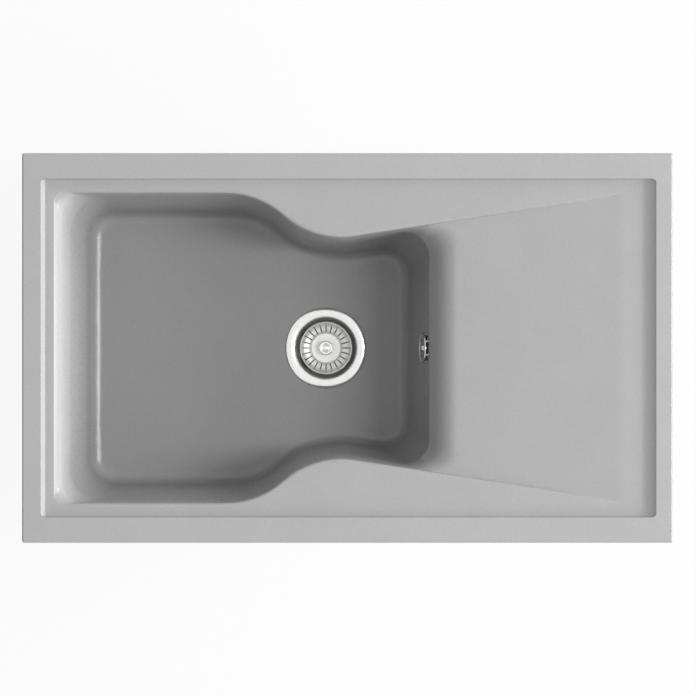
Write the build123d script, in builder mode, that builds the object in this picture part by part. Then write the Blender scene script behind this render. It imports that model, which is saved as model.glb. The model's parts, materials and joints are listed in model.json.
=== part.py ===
from build123d import *
from math import asin, atan2, cos, degrees, radians, sin, tan
import os

# Inset kitchen sink with one waisted bowl and a sloping drainer.
# Millimetres. Origin: centre of the sink on the worktop plane, +X towards the drainer,
# +Y to the rear, +Z up. The rim's underside lies at z = 0. The sink is the same front and rear.

# ---- rim and tray ----
rim_length = 860.0
rim_width = 515.0
rim_height = 8.0
rim_corner_r = 3.0
rim_edge_r = 2.5
left_band = 25.0
right_band = 22.0
side_band = 34.5
tray_drop = 6.0
tray_corner_r = 7.0
tray_wall_lean = 8.0
left_slope_run = 5.0
cove_run = 19.0
cove_overrun = 2.0
end_overcut = 3.0
overlap = 1.0
deck_thickness = 10.0

# ---- underside ----
skirt_inset = 13.0
skirt_thickness = 8.0
skirt_depth = 24.0
skirt_corner_r = 12.0
rib_thickness = 6.0
rib_foot_gap = 3.0
drainer_rib_count = 3
seal_groove_inset = 3.5
seal_groove_width = 5.0
seal_groove_depth = 2.0

# ---- bowl ----
bowl_depth = 200.0
bowl_wall = 9.0
bowl_floor_thickness = 10.0
side_deck = 17.5
left_deck = 12.5
bowl_length = 478.7
left_draft_run = 6.5
right_draft_run = 23.7
bowl_draft = 4.4
shoulder_run = 206.0
waist_r = 115.0
waist_turn = 41.8
flare_angle = 8.65
crease_drop = 30.0
lip_run = 23.5
lip_left_r = 17.0
lip_roll = 52.0
lip_corner_r = 8.0
lip_foot_corner_r = 29.0
lip_side_r = 3.5
lip_steps = 4
side_lip_turns = (30, 60, 90)
brow_r = 44.0
crease_left_r = 44.0
crease_right_r = 34.0
floor_corner_r = 38.0
bowl_floor_r = 18.0

# ---- drainer ----
brow_run = 36.3
drainer_end_gap = 42.0
drainer_fall = 9.8
brow_corner_r = 28.0
brow_steps = 5
drainer_corner_r = 4.0

# ---- tap-hole recesses under the deck ----
tap_recess_r = 17.5
tap_recess_depth = 6.0
tap_recess_offset = 24.5
tap_recess_inset = 69.5

# ---- waste ----
drain_inset = 140.2
drain_hole_r = 45.0
seat_r = 57.5
seat_depth = 2.0
flange_r = 56.5
flange_lip = 44.6
flange_crown = 1.4
cup_neck_r = 43.0
cup_neck_z = -2.4
cup_foot_r = 37.5
cup_depth = 28.0
sheet = 1.2
flange_seal_thickness = 1.0
body_seal_thickness = 3.0
seal_bore_gap = 2.0
outlet_slot_count = 4
outlet_slot_r = 19.5
outlet_slot_width = 12.0
outlet_slot_sweep = 54.0
clamp_shank_r = 3.0
clamp_head_r = 7.5
clamp_head_height = 3.4
clamp_head_edge_r = 1.0
clamp_tip = 2.0
driver_slot_width = 1.4
nut_across_flats = 10.0
nut_height = 6.0
thread_clearance = 0.06

body_flange_r = 57.0
body_flange_thickness = 4.0
body_r = 49.0
body_wall = 3.0
body_straight = 33.0
body_cone = 20.0
tail_r = 23.9
tail_bore_r = 20.0
tail_length = 26.0
web_thickness = 3.0
web_height = 12.0
hub_r = 9.5
branch_r = 13.0
branch_bore_r = 9.5
branch_reach = 72.0
branch_drop = 21.0

# ---- strainer basket ----
basket_rim_r = 36.0
basket_rim_drop = 7.0
basket_disc_r = 21.5
basket_disc_drop = 20.5
basket_sheet = 0.8
basket_rim_flat = 1.0
basket_slot_count = 24
basket_slot_width = 1.6
basket_slot_margin = 1.5
knob_r = 10.0
knob_neck_r = 6.0
knob_height = 12.0
knob_flare = 1.0
knob_head = 4.0
knob_edge_r = 2.4
knob_edge_lean = 0.6
knob_dimple_r = 5.2
knob_dimple_lean = 0.8
knob_dimple_depth = 1.0
knob_dimple_width = 1.6
knob_dimple_crown = 0.8
stud_r = 2.5
plug_r = 22.0
plug_plate = 1.4
plug_ring_r = 19.0
seal_r = 30.5
seal_gap = 0.3
seal_shoulder_r = 24.0
seal_shoulder_drop = 2.4
plug_lift = 0.2
head_side_gap = 1.0
head_top_gap = 0.6
soft_gap = 0.3

# ---- overflow ----
overflow_drop = 62.0
overflow_hole_r = 15.0
overflow_cut = 4.0
rosette_r = 21.0
rosette_dome = 0.26
rosette_edge = 1.0
rosette_edge_rise = 1.4
rosette_lip = 0.8
rosette_thickness = 1.8
rosette_stand = 3.0
rosette_feet = 6
rosette_foot_r = 1.8
rosette_foot_place = 18.0
rosette_hole_r = 2.2
rosette_hole_place = 12.0
overflow_shank_r = 2.5
overflow_head_r = 4.8
overflow_head_height = 2.0
overflow_tip_gap = 3.0
gasket_r = 25.0
gasket_thickness = 3.0
elbow_flange_r = 26.0
elbow_flange_thickness = 3.0
elbow_r = 19.0
elbow_wall = 2.4
elbow_depth = 30.0
elbow_boss_r = 5.5
elbow_boss_height = 16.0
spigot_bore_r = 9.5
spigot_r = 13.0
spigot_foot_drop = 100.0

# ---- overflow hose ----
hose_r = 12.5
hose_valley_r = 10.9
hose_bore_r = 9.6
hose_bend_r = 58.0
hose_rib_count = 26
hose_nut_r = 17.5
hose_nut_length = 17.0
nut_grip = 9.0
hose_nut_ribs = 12
nut_rib_r = 1.3
cone_seal_length = 5.0
fit_gap = 0.05

# ---- fixing clips ----
clip_end_margin = 130.0
clip_mid_x = 60.0
clip_inset = 31.5
clip_end_inset = 30.5
clip_boss_r = 10.0
clip_boss_depth = 30.0
anchor_r = 6.0
anchor_length = 21.0
anchor_flange_r = 8.0
anchor_flange = 1.3
screw_r = 2.5
screw_engagement = 6.0
claw_drop = 46.0
claw_thickness = 3.0
claw_hub_r = 8.0
claw_reach = 30.0
claw_tip_width = 12.0
claw_tip_rise = 5.0
claw_rib_width = 4.0
boss_clearance = 1.5
screw_head_r = 5.0
screw_head_height = 4.0
screw_head_edge_r = 0.8
hex_key = 2.5
running_gap = 0.08

# ---- levels and places worked out from the sizes above ----
tray_left_x = left_band - rim_length / 2
tray_right_x = rim_length / 2 - right_band
tray_half_width = rim_width / 2 - side_band
bowl_half_width = tray_half_width - side_deck
lip_left_x = tray_left_x + left_deck
crease_left_x = lip_left_x + lip_run
crease_right_x = crease_left_x + bowl_length
bowl_left_x = crease_left_x + left_draft_run
bowl_right_x = crease_right_x - right_draft_run
shoulder_x = crease_left_x + shoulder_run
drain_x = crease_right_x - drain_inset
drainer_low_x = crease_right_x + brow_run
drainer_high_x = tray_right_x - drainer_end_gap
tap_recess_x = drain_x + tap_recess_offset
tap_recess_y = rim_width / 2 - tap_recess_inset
tray_z = rim_height - tray_drop
deck_under_z = tray_z - deck_thickness
floor_z = rim_height - bowl_depth
floor_under_z = floor_z - bowl_floor_thickness
crease_z = tray_z - crease_drop
skirt_z = -skirt_depth
skirt_length = rim_length - 2 * skirt_inset
skirt_width = rim_width - 2 * skirt_inset
inner_length = skirt_length - 2 * skirt_thickness
inner_width = skirt_width - 2 * skirt_thickness
draft_run = tan(radians(bowl_draft))


def tangent_from(crease_x, centre_x, centre_z, radius):
    """Lean of the band from the crease that touches a rounding above it, from the level."""
    side = abs(crease_x - centre_x)
    rise = centre_z - crease_z
    reach = (side**2 + rise**2) ** 0.5
    return degrees(atan2(rise, side) + asin(radius / reach))


# the left lip rolls over from the deck and ends in an edge, from which a steep band falls to the crease
left_centre_z = tray_z - lip_left_r
lip_foot_x = lip_left_x + lip_left_r * sin(radians(lip_roll))
lip_foot_z = left_centre_z + lip_left_r * cos(radians(lip_roll))

# the brow rounds over from the drainer's slope to a band that leans down to the crease
drainer_lean = degrees(atan2(drainer_fall, drainer_high_x - drainer_low_x))
drainer_low_z = tray_z - drainer_fall
brow_centre_x = drainer_low_x + brow_r * sin(radians(drainer_lean))
brow_centre_z = drainer_low_z - brow_r * cos(radians(drainer_lean))
brow_lean = tangent_from(crease_right_x, brow_centre_x, brow_centre_z, brow_r)
brow_band_x = brow_centre_x - brow_r * sin(radians(brow_lean))
brow_band_z = brow_centre_z + brow_r * cos(radians(brow_lean))


def between(height, low_z, low, high_z, high):
    """A size that changes evenly from one height to another."""
    return low + (high - low) * (height - low_z) / (high_z - low_z)


def left_x_at(height):
    """Where the bowl's left end stands at a height: wall, band, then the rolled lip."""
    if height > lip_foot_z:
        return lip_left_x + (max(lip_left_r**2 - (height - left_centre_z) ** 2, 0)) ** 0.5
    if height > crease_z:
        return between(height, crease_z, crease_left_x, lip_foot_z, lip_foot_x)
    return between(height, floor_z, bowl_left_x, crease_z, crease_left_x)


def right_x_at(height):
    """Where the bowl's right end stands at a height: wall, band, brow and then the drainer's slope."""
    if height > drainer_low_z:
        return between(height, drainer_low_z, drainer_low_x, tray_z, drainer_high_x)
    if height > brow_band_z:
        return brow_centre_x - (brow_r**2 - (height - brow_centre_z) ** 2) ** 0.5
    if height > crease_z:
        return between(height, crease_z, crease_right_x, brow_band_z, brow_band_x)
    return between(height, floor_z, bowl_right_x, crease_z, crease_right_x)


def left_corner_at(height):
    """Radius of the two left corners at a height: small on the deck, wide at the crease."""
    if height > lip_foot_z:
        return between(left_x_at(height), lip_left_x, lip_corner_r, lip_foot_x, lip_foot_corner_r)
    if height > crease_z:
        return between(height, crease_z, crease_left_r, lip_foot_z, lip_foot_corner_r)
    return between(height, floor_z, floor_corner_r, crease_z, crease_left_r)


def right_corner_at(height):
    """Radius of the two right corners at a height: small where they follow the drainer's sides."""
    if height > drainer_low_z:
        return drainer_corner_r
    if height > crease_z:
        return between(height, crease_z, crease_right_r, drainer_low_z, brow_corner_r)
    return between(height, floor_z, floor_corner_r, crease_z, crease_right_r)


def inset_at(height):
    """How far the drafted side wall stands inside the lip line at a height, rounded over at the lip."""
    inset = (tray_z - height) * draft_run
    over = height - (tray_z - lip_side_r)
    if over > 0:
        inset -= lip_side_r - (lip_side_r**2 - over**2) ** 0.5
    return inset


def bowl_section(height, left_x, right_x, left_r, right_r, inset):
    """The waisted outline of the bowl at one height."""
    half = bowl_half_width - inset
    with BuildSketch(Plane.XY.offset(height)) as section:
        with BuildLine():
            left_end = Line((left_x, 0), (left_x, half - left_r))
            corner = JernArc(left_end @ 1, (0, 1), left_r, -90)
            side = Line(corner @ 1, (shoulder_x, half))
            shoulder = JernArc(side @ 1, (1, 0), waist_r - inset, -waist_turn)
            waist = JernArc(shoulder @ 1, shoulder % 1, waist_r + inset, waist_turn + flare_angle)
            flare_end_x = right_x - right_r * (1 + sin(radians(flare_angle)))
            flare_rise = (flare_end_x - (waist @ 1).X) * tan(radians(flare_angle))
            flare = Line(waist @ 1, (flare_end_x, (waist @ 1).Y + flare_rise))
            end_corner = JernArc(flare @ 1, flare % 1, right_r, -90 - flare_angle)
            Line(end_corner @ 1, (right_x, 0))
            mirror(about=Plane.XZ)
        make_face()
    return section.sketch


def inner_section(height):
    """The hollow's outline at one height."""
    return bowl_section(
        height,
        left_x_at(height),
        right_x_at(height),
        left_corner_at(height),
        right_corner_at(height),
        inset_at(height),
    )


def outer_section(height, left_x, right_x, corner_r):
    """The outer form's outline at one height, a wall's thickness outside the hollow."""
    return bowl_section(
        height,
        left_x - bowl_wall,
        right_x + bowl_wall,
        corner_r + bowl_wall,
        corner_r + bowl_wall,
        (tray_z - height) * draft_run - bowl_wall,
    )


# ---- bowl: the hollow, with the drainer's slope, and the outer form ----
side_lip_heights = [tray_z - lip_side_r * (1 - cos(radians(turn))) for turn in side_lip_turns]
left_lip_heights = [
    left_centre_z + lip_left_r * cos(radians(lip_roll * step / lip_steps)) for step in range(lip_steps + 1)
]
brow_turn = brow_lean - drainer_lean
brow_heights = [
    brow_centre_z + brow_r * cos(radians(drainer_lean + brow_turn * step / brow_steps))
    for step in range(1, brow_steps + 1)
]
hollow_heights = sorted(
    [*side_lip_heights, *left_lip_heights, drainer_low_z, *brow_heights, crease_z, floor_z], reverse=True
)

with BuildPart() as bowl_hollow:
    loft(sections=[inner_section(height) for height in hollow_heights], ruled=True)
    floor_face = bowl_hollow.faces().sort_by(Axis.Z)[0]
    fillet(floor_face.edges(), radius=bowl_floor_r)

outer_sections = [
    outer_section(
        floor_under_z,
        between(floor_under_z, floor_z, bowl_left_x, crease_z, crease_left_x),
        between(floor_under_z, floor_z, bowl_right_x, crease_z, crease_right_x),
        floor_corner_r,
    ),
    outer_section(crease_z, crease_left_x, crease_right_x, crease_right_r),
    outer_section(deck_under_z + overlap, lip_foot_x, drainer_low_x, lip_foot_corner_r),
]

with BuildPart() as bowl_outside:
    loft(sections=outer_sections, ruled=True)
    under_face = bowl_outside.faces().sort_by(Axis.Z)[0]
    fillet(under_face.edges(), radius=bowl_floor_r + bowl_wall)


# ---- plate that follows the drainer's slope below ----
plate_low_x = crease_right_x
plate_low_z = between(plate_low_x, drainer_low_x, drainer_low_z, drainer_high_x, tray_z)
plate_half = bowl_half_width + deck_thickness

with BuildPart() as drainer_plate:
    with BuildSketch(Plane.XZ):
        with BuildLine():
            Polyline(
                (plate_low_x, plate_low_z - deck_thickness),
                (drainer_high_x, deck_under_z),
                (drainer_high_x, deck_under_z + overlap),
                (plate_low_x, deck_under_z + overlap),
                close=True,
            )
        make_face()
    extrude(amount=plate_half, both=True)

# ---- tray: the shallow recess inside the rim ----
tray_length = tray_right_x - tray_left_x
tray_mid_x = (tray_right_x + tray_left_x) / 2

with BuildPart() as tray_recess:
    with BuildSketch(Plane.XY.offset(tray_z)):
        with Locations((tray_mid_x, 0)):
            RectangleRounded(tray_length, 2 * tray_half_width, tray_corner_r)
    extrude(amount=tray_drop + overlap, taper=-tray_wall_lean)

with BuildPart() as end_cove:
    with BuildSketch(Plane.XZ) as cove_profile:
        with BuildLine():
            foot = Line((tray_right_x - cove_run, tray_z), (tray_right_x + end_overcut, tray_z))
            back = Line(foot @ 1, (tray_right_x + end_overcut, rim_height))
            top = Line(back @ 1, (tray_right_x, rim_height))
            TangentArc(foot @ 0, top @ 1, tangent=(1, 0))
        make_face()
    extrude(amount=tray_half_width + cove_overrun, both=True)

with BuildPart() as left_slope:
    with BuildSketch(Plane.XZ):
        with BuildLine():
            Polyline(
                (tray_left_x + left_slope_run, tray_z),
                (tray_left_x - end_overcut, tray_z),
                (tray_left_x - end_overcut, rim_height),
                (tray_left_x, rim_height),
                close=True,
            )
        make_face()
    extrude(amount=tray_half_width + cove_overrun, both=True)

# ---- places of the fixing clips: (x, y, direction in which the claw reaches out) ----
clip_y = rim_width / 2 - clip_inset
clip_end_x = rim_length / 2 - clip_end_inset
clip_side_xs = (clip_end_margin - rim_length / 2, clip_mid_x, rim_length / 2 - clip_end_margin)
clip_seats = (
    [(x, clip_y, 90.0) for x in clip_side_xs]
    + [(-clip_end_x, 0.0, 180.0)]
    + [(x, -clip_y, 270.0) for x in clip_side_xs]
    + [(clip_end_x, 0.0, 0.0)]
)
clip_places = [(x, y) for x, y, turn in clip_seats]

# ---- overflow: its place on the inclined end wall of the bowl ----
wall_run = crease_right_x - bowl_right_x
wall_rise = crease_z - floor_z
wall_length = (wall_run**2 + wall_rise**2) ** 0.5
overflow_z = rim_height - overflow_drop
overflow_x = crease_right_x - (crease_z - overflow_z) * wall_run / wall_rise
into_bowl = Vector(-wall_rise / wall_length, 0, wall_run / wall_length)
overflow_plane = Plane(origin=(overflow_x, 0, overflow_z), x_dir=(0, 1, 0), z_dir=into_bowl)

# ---- sink body ----
with BuildPart() as sink_body:
    with BuildSketch():
        RectangleRounded(rim_length, rim_width, rim_corner_r)
    extrude(amount=rim_height)
    fillet(sink_body.faces().sort_by(Axis.Z)[-1].edges(), radius=rim_edge_r)
    with BuildSketch():
        RectangleRounded(skirt_length, skirt_width, skirt_corner_r)
    extrude(amount=-skirt_depth)
    with BuildSketch(Plane.XY.offset(skirt_z)):
        RectangleRounded(inner_length, inner_width, skirt_corner_r - skirt_thickness)
    extrude(amount=deck_under_z - skirt_z, mode=Mode.SUBTRACT)
    with BuildSketch(Plane.XY.offset(deck_under_z)):
        for rib in range(drainer_rib_count):
            rib_share = (rib + 0.5) / drainer_rib_count
            with Locations((drainer_low_x + (drainer_high_x - drainer_low_x) * rib_share, 0)):
                Rectangle(rib_thickness, inner_width + overlap)
    extrude(amount=skirt_z + rib_foot_gap - deck_under_z)
    with BuildSketch(Plane.XY.offset(-clip_boss_depth)):
        with Locations(*clip_places):
            Circle(clip_boss_r)
    extrude(amount=clip_boss_depth + deck_under_z + overlap)
    add(drainer_plate.part)
    add(bowl_outside.part)
    add(tray_recess.part, mode=Mode.SUBTRACT)
    add(end_cove.part)
    add(left_slope.part)
    add(bowl_hollow.part, mode=Mode.SUBTRACT)
    # drain hole and its seat
    with BuildSketch(Plane.XY.offset(floor_z - seat_depth)):
        with Locations((drain_x, 0)):
            Circle(seat_r)
    extrude(amount=seat_depth + overlap, mode=Mode.SUBTRACT)
    with BuildSketch(Plane.XY.offset(floor_under_z - overlap)):
        with Locations((drain_x, 0)):
            Circle(drain_hole_r)
    extrude(amount=bowl_floor_thickness + 2 * overlap, mode=Mode.SUBTRACT)
    # overflow hole through the end wall
    with BuildSketch(overflow_plane.offset(overflow_cut / 2)):
        Circle(overflow_hole_r)
    extrude(amount=-bowl_wall - 2 * overflow_cut, mode=Mode.SUBTRACT)
    # blind tap-hole recesses, one at the rear and one at the front
    with BuildSketch(Plane.XY.offset(deck_under_z)):
        with Locations((tap_recess_x, tap_recess_y), (tap_recess_x, -tap_recess_y)):
            Circle(tap_recess_r)
    extrude(amount=tap_recess_depth, mode=Mode.SUBTRACT)
    # groove for the rim seal
    with BuildSketch():
        RectangleRounded(rim_length - 2 * seal_groove_inset, rim_width - 2 * seal_groove_inset, rim_corner_r)
        RectangleRounded(
            rim_length - 2 * (seal_groove_inset + seal_groove_width),
            rim_width - 2 * (seal_groove_inset + seal_groove_width),
            rim_corner_r,
            mode=Mode.SUBTRACT,
        )
    extrude(amount=seal_groove_depth, mode=Mode.SUBTRACT)
    # sockets for the clip anchors
    with BuildSketch(Plane.XY.offset(-clip_boss_depth)):
        with Locations(*clip_places):
            Circle(anchor_r)
    extrude(amount=anchor_length, mode=Mode.SUBTRACT)
sink_body.part.label = "sink_body"


# ---- rim seal: a soft strip in the groove under the rim ----
with BuildPart() as rim_seal:
    with BuildSketch():
        strip_inset = seal_groove_inset + soft_gap
        strip_end = seal_groove_inset + seal_groove_width - soft_gap
        RectangleRounded(rim_length - 2 * strip_inset, rim_width - 2 * strip_inset, rim_corner_r)
        RectangleRounded(
            rim_length - 2 * strip_end, rim_width - 2 * strip_end, rim_corner_r, mode=Mode.SUBTRACT
        )
    extrude(amount=seal_groove_depth)
rim_seal.part.label = "rim_seal"

# ---- waste: pieces turned about the drain's axis, heights counted from the bowl floor ----
drain_plane = Plane(origin=(drain_x, 0, floor_z), x_dir=(1, 0, 0), z_dir=(0, -1, 0))
drain_axis = Axis((drain_x, 0, 0), (0, 0, 1))
flange_under = -seat_depth + flange_seal_thickness
cup_floor = -cup_depth
body_top = -bowl_floor_thickness - body_seal_thickness
body_under_flange = body_top - body_flange_thickness
cone_top = body_top - body_straight
cone_foot = cone_top - body_cone
tail_foot = cone_foot - tail_length
branch_plane = Plane(
    origin=(drain_x + branch_reach, 0, floor_under_z - branch_drop), x_dir=(0, 1, 0), z_dir=(1, 0, 0)
)


def drain_level(height):
    """A level plane on the drain's axis, at a height above the bowl floor."""
    return Plane(origin=(drain_x, 0, floor_z + height), x_dir=(1, 0, 0), z_dir=(0, 0, 1))


with BuildPart() as waste_flange:
    with BuildSketch(drain_plane):
        with BuildLine():
            crown = Line((flange_r, flange_under), (flange_r, flange_under + sheet))
            dome = ThreePointArc(
                crown @ 1,
                ((flange_r + flange_lip) / 2, flange_under + sheet + flange_crown),
                (flange_lip, flange_under + sheet),
            )
            neck = Line(dome @ 1, (cup_neck_r, cup_neck_z))
            wall = Line(neck @ 1, (cup_foot_r, cup_floor))
            plate = Line(wall @ 1, (0, cup_floor))
            hub = Line(plate @ 1, (0, cup_floor - sheet))
            under = Line(hub @ 1, (cup_foot_r + sheet, cup_floor - sheet))
            outside = Polyline(
                under @ 1,
                (cup_neck_r + sheet, -seat_depth),
                (cup_neck_r + 2 * sheet, flange_under),
                crown @ 0,
            )
        make_face()
    revolve(axis=drain_axis)
    with BuildSketch(drain_level(cup_floor - 2 * sheet)):
        for slot in range(outlet_slot_count):
            start = slot * 360 / outlet_slot_count + (360 / outlet_slot_count - outlet_slot_sweep) / 2
            SlotArc(
                arc=CenterArc((0, 0), outlet_slot_r, start, outlet_slot_sweep, mode=Mode.PRIVATE),
                height=outlet_slot_width,
            )
        Circle(clamp_shank_r + thread_clearance)
    extrude(amount=3 * sheet, mode=Mode.SUBTRACT)
waste_flange.part.label = "waste_flange"

with BuildPart() as flange_seal:
    with BuildSketch(drain_level(-seat_depth)):
        Circle(flange_r)
        Circle(drain_hole_r + seal_bore_gap, mode=Mode.SUBTRACT)
    extrude(amount=flange_seal_thickness)
flange_seal.part.label = "flange_seal"

with BuildPart() as body_seal:
    with BuildSketch(drain_level(body_top)):
        Circle(body_flange_r)
        Circle(drain_hole_r + seal_bore_gap, mode=Mode.SUBTRACT)
    extrude(amount=body_seal_thickness)
body_seal.part.label = "body_seal"

with BuildPart() as waste_body:
    with BuildSketch(drain_plane):
        with BuildLine():
            Polyline(
                (body_r - body_wall, body_top),
                (body_flange_r, body_top),
                (body_flange_r, body_under_flange),
                (body_r, body_under_flange),
                (body_r, cone_top),
                (tail_r, cone_foot),
                (tail_r, tail_foot),
                (tail_bore_r, tail_foot),
                (tail_bore_r, cone_foot + overlap),
                (body_r - body_wall, cone_top),
                close=True,
            )
        make_face()
    revolve(axis=drain_axis)
    # cross web that carries the clamp nut
    with BuildSketch(drain_level(cone_top)):
        for turn in (45, 135):
            Rectangle(2 * body_r - body_wall, web_thickness, rotation=turn)
        Circle(hub_r)
    extrude(amount=web_height)
    # branch that takes the overflow hose
    with BuildSketch(branch_plane):
        Circle(branch_r)
    extrude(amount=-branch_reach + body_r - body_wall / 2)
    with BuildSketch(branch_plane):
        Circle(branch_bore_r)
    extrude(amount=-branch_reach + body_r - 2 * body_wall, mode=Mode.SUBTRACT)
    with BuildSketch(drain_level(cone_top)):
        Circle(clamp_shank_r + thread_clearance)
    extrude(amount=web_height, mode=Mode.SUBTRACT)
    with BuildSketch(drain_level(cone_top)):
        RegularPolygon(nut_across_flats / 2 + fit_gap, 6, major_radius=False)
    extrude(amount=nut_height, mode=Mode.SUBTRACT)
waste_body.part.label = "waste_body"

with BuildPart() as clamp_nut:
    with BuildSketch(drain_level(cone_top)):
        RegularPolygon(nut_across_flats / 2, 6, major_radius=False)
        Circle(clamp_shank_r + thread_clearance, mode=Mode.SUBTRACT)
    extrude(amount=nut_height)
clamp_nut.part.label = "clamp_nut"

with BuildPart() as clamp_screw:
    with BuildSketch(drain_level(cone_top - clamp_tip)):
        Circle(clamp_shank_r)
    extrude(amount=cup_floor - cone_top + clamp_tip)
    with BuildSketch(drain_level(cup_floor)):
        Circle(clamp_head_r)
    extrude(amount=clamp_head_height)
    fillet(clamp_screw.faces().sort_by(Axis.Z)[-1].edges(), radius=clamp_head_edge_r)
    with BuildSketch(drain_level(cup_floor + clamp_head_height)):
        Rectangle(2 * clamp_head_r + overlap, driver_slot_width)
    extrude(amount=-clamp_head_height / 2, mode=Mode.SUBTRACT)
clamp_screw.part.label = "clamp_screw"

# ---- strainer basket, lifted out by its knob ----
disc_top = -basket_disc_drop
disc_under = disc_top - basket_sheet
rim_top = -basket_rim_drop
knob_top = disc_top + knob_height
crown_r = knob_dimple_r - knob_dimple_width - knob_dimple_lean
plug_foot = cup_floor + seal_gap + plug_lift
plug_plate_under = disc_under - plug_plate
plug_recess = cup_floor + clamp_head_height + head_top_gap

with BuildPart() as basket:
    with BuildSketch(drain_plane):
        Polygon(
            (stud_r + fit_gap, disc_top),
            (basket_disc_r, disc_top),
            (basket_rim_r - basket_rim_flat, rim_top),
            (basket_rim_r + basket_rim_flat, rim_top),
            (basket_rim_r + basket_rim_flat, rim_top - basket_sheet),
            (basket_rim_r, rim_top - basket_sheet),
            (basket_disc_r + basket_sheet / 2, disc_under),
            (stud_r + fit_gap, disc_under),
            align=None,
        )
    revolve(axis=drain_axis)
    with BuildSketch(drain_level(disc_under - overlap)):
        with PolarLocations((basket_disc_r + basket_rim_r) / 2, basket_slot_count):
            Rectangle(basket_rim_r - basket_disc_r - 2 * basket_slot_margin, basket_slot_width)
    extrude(amount=basket_disc_drop - basket_rim_drop, mode=Mode.SUBTRACT)
basket.part.label = "basket"

with BuildPart() as basket_knob:
    with BuildSketch(drain_plane):
        with BuildLine():
            foot = Polyline(
                (0, plug_plate_under),
                (stud_r, plug_plate_under),
                (stud_r, disc_top),
                (knob_neck_r + knob_flare, disc_top),
                (knob_neck_r - knob_flare, disc_top + knob_height / 2),
                (knob_r - knob_edge_lean, knob_top - knob_head),
            )
            edge = ThreePointArc(
                foot @ 1,
                (knob_r, knob_top - knob_edge_r),
                (knob_r - knob_edge_r, knob_top),
            )
            ring = Line(edge @ 1, (knob_dimple_r + knob_dimple_lean, knob_top))
            dimple = Polyline(
                ring @ 1,
                (knob_dimple_r, knob_top - knob_dimple_depth),
                (knob_dimple_r - knob_dimple_width, knob_top - knob_dimple_depth),
                (crown_r, knob_top - knob_dimple_depth + knob_dimple_crown),
                (0, knob_top),
            )
            Line(dimple @ 1, foot @ 0)
        make_face()
    revolve(axis=drain_axis)
basket_knob.part.label = "basket_knob"

with BuildPart() as basket_plug:
    with BuildSketch(drain_plane):
        Polygon(
            (stud_r + fit_gap, disc_under),
            (plug_r, disc_under),
            (plug_r, plug_plate_under),
            (plug_ring_r, plug_plate_under),
            (plug_ring_r, plug_foot),
            (clamp_head_r + head_side_gap, plug_foot),
            (clamp_head_r + head_side_gap, plug_recess),
            (stud_r + fit_gap, plug_recess),
            align=None,
        )
    revolve(axis=drain_axis)
basket_plug.part.label = "basket_plug"

with BuildPart() as basket_seal:
    with BuildSketch(drain_plane):
        Polygon(
            (plug_ring_r, plug_plate_under),
            (seal_shoulder_r, plug_plate_under),
            (seal_r, plug_plate_under - seal_shoulder_drop),
            (seal_r, cup_floor + seal_gap),
            (plug_ring_r, cup_floor + seal_gap),
            align=None,
        )
    revolve(axis=drain_axis)
basket_seal.part.label = "basket_seal"

# ---- overflow: pieces turned about the axis of its hole, heights counted from the bowl's wall ----
wall_through = bowl_wall * wall_rise / wall_length
gasket_back = -wall_through - gasket_thickness
flange_back = gasket_back - elbow_flange_thickness
elbow_back = gasket_back - elbow_depth
elbow_mid = (gasket_back + elbow_back) / 2
screw_tip = elbow_back + elbow_wall + overflow_tip_gap
turned_plane = Plane(
    origin=overflow_plane.origin, x_dir=(0, 1, 0), z_dir=Vector(0, 1, 0).cross(into_bowl)
)
overflow_axis = Axis(overflow_plane.origin, into_bowl)
rosette_face = rosette_stand + rosette_thickness
rosette_mid_r = (rosette_r + 2 * rosette_stand) / 2
spigot_x = overflow_x - into_bowl.X * -elbow_mid
spigot_top_z = overflow_z + into_bowl.Z * elbow_mid
spigot_foot_z = rim_height - spigot_foot_drop

with BuildPart() as overflow_rosette:
    with BuildSketch(turned_plane):
        with BuildLine():
            back = Line((overflow_shank_r + fit_gap, rosette_stand), (rosette_r - rosette_edge, rosette_stand))
            rim = ThreePointArc(
                back @ 1,
                (rosette_r, rosette_stand + rosette_edge_rise),
                (rosette_r - 2 * rosette_edge, rosette_face + rosette_lip),
            )
            dish = ThreePointArc(
                rim @ 1,
                (rosette_mid_r, rosette_face + rosette_dome),
                (overflow_head_r + 2 * rosette_edge, rosette_face),
            )
            Polyline(dish @ 1, (overflow_shank_r + fit_gap, rosette_face), back @ 0)
        make_face()
    revolve(axis=overflow_axis)
    with BuildSketch(overflow_plane):
        with PolarLocations(rosette_foot_place, rosette_feet):
            Circle(rosette_foot_r)
    extrude(amount=rosette_stand + overlap / 2)
    with BuildSketch(overflow_plane.offset(rosette_stand)):
        with PolarLocations(rosette_hole_place, rosette_feet, start_angle=180 / rosette_feet):
            Circle(rosette_hole_r)
    extrude(amount=rosette_thickness + 2 * overlap, mode=Mode.SUBTRACT)
overflow_rosette.part.label = "overflow_rosette"

with BuildPart() as overflow_screw:
    with BuildSketch(overflow_plane.offset(rosette_face)):
        Circle(overflow_shank_r)
    extrude(amount=screw_tip - rosette_face)
    with BuildSketch(overflow_plane.offset(rosette_face)):
        Circle(overflow_head_r)
    extrude(amount=overflow_head_height)
    with BuildSketch(overflow_plane.offset(rosette_face + overflow_head_height)):
        Rectangle(2 * overflow_head_r + overlap, driver_slot_width)
    extrude(amount=-overflow_head_height / 2, mode=Mode.SUBTRACT)
overflow_screw.part.label = "overflow_screw"

with BuildPart() as overflow_gasket:
    with BuildSketch(overflow_plane.offset(gasket_back)):
        Circle(gasket_r)
        Circle(overflow_hole_r, mode=Mode.SUBTRACT)
    extrude(amount=gasket_thickness)
overflow_gasket.part.label = "overflow_gasket"

spigot_plane = Plane(origin=(spigot_x, 0, spigot_foot_z), x_dir=(0, 1, 0), z_dir=(0, 0, -1))

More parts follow.
